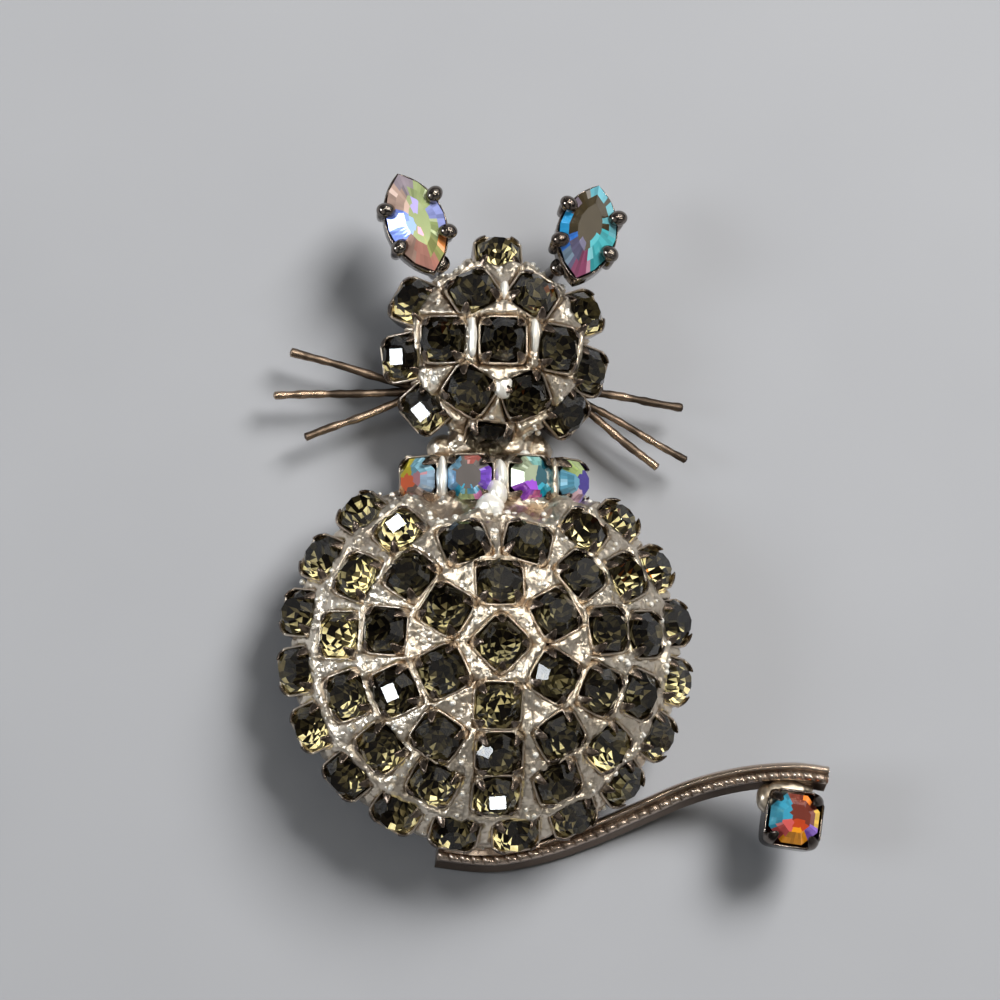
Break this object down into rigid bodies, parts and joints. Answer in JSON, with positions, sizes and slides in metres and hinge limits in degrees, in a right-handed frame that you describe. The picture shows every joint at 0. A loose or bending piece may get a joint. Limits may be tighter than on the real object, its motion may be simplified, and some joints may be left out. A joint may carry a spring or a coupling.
{
  "type": "cat brooch",
  "caption": "Cat-shaped costume brooch: domed body and head of round smoky stones, rainbow collar, ears and tail stones, wire whiskers, closed pin behind.",
  "frame": {"origin": "under the middle of the whole brooch, on the surface that it lies on", "axes": "+Y towards the cat's ears, +Z out of its front, +X to the right as seen from the front"},
  "size_m": [0.0406, 0.0506, 0.0133],
  "materials": {
    "plate": "shiny silver-coloured plating, tarnished brown in the recesses",
    "dark_setting": "darkened silver-coloured plating",
    "tail_metal": "brownish silver-coloured plating with a milled ridge",
    "whisker_wire": "dark bronze-toned wire",
    "pin_metal": "plain satin",
    "smoke_stone": "faceted smoky glass with a foiled back",
    "rainbow_stone": "faceted glass with a rainbow coating"
  },
  "bodies": {
    "root": {"body_dome": "plate", "head_dome": "plate", "collar": "plate", "left_ear_setting": "dark_setting", "right_ear_setting": "dark_setting", "left_whiskers": "whisker_wire", "right_whiskers": "whisker_wire", "tail": "tail_metal", "pin_back": "pin_metal", "body_stones_inner": "smoke_stone", "body_stones_outer": "smoke_stone", "head_stone_0_1": "smoke_stone", "head_stone_1_1": "smoke_stone", "head_stone_1_2": "smoke_stone", "head_stone_1_3": "smoke_stone", "head_stone_1_4": "smoke_stone", "head_stone_1_5": "smoke_stone", "head_stone_1_6": "smoke_stone", "head_stone_2_1": "smoke_stone", "head_stone_2_2": "smoke_stone", "head_stone_2_3": "smoke_stone", "head_stone_2_4": "smoke_stone", "head_stone_2_5": "smoke_stone", "head_stone_2_6": "smoke_stone", "head_stone_2_7": "smoke_stone", "head_stone_2_8": "smoke_stone", "collar_stone_1": "rainbow_stone", "collar_stone_2": "rainbow_stone", "collar_stone_3": "rainbow_stone", "collar_stone_4": "rainbow_stone", "left_ear_stone": "rainbow_stone", "right_ear_stone": "rainbow_stone", "tail_stone": "rainbow_stone"}
  },
  "joints": []
}
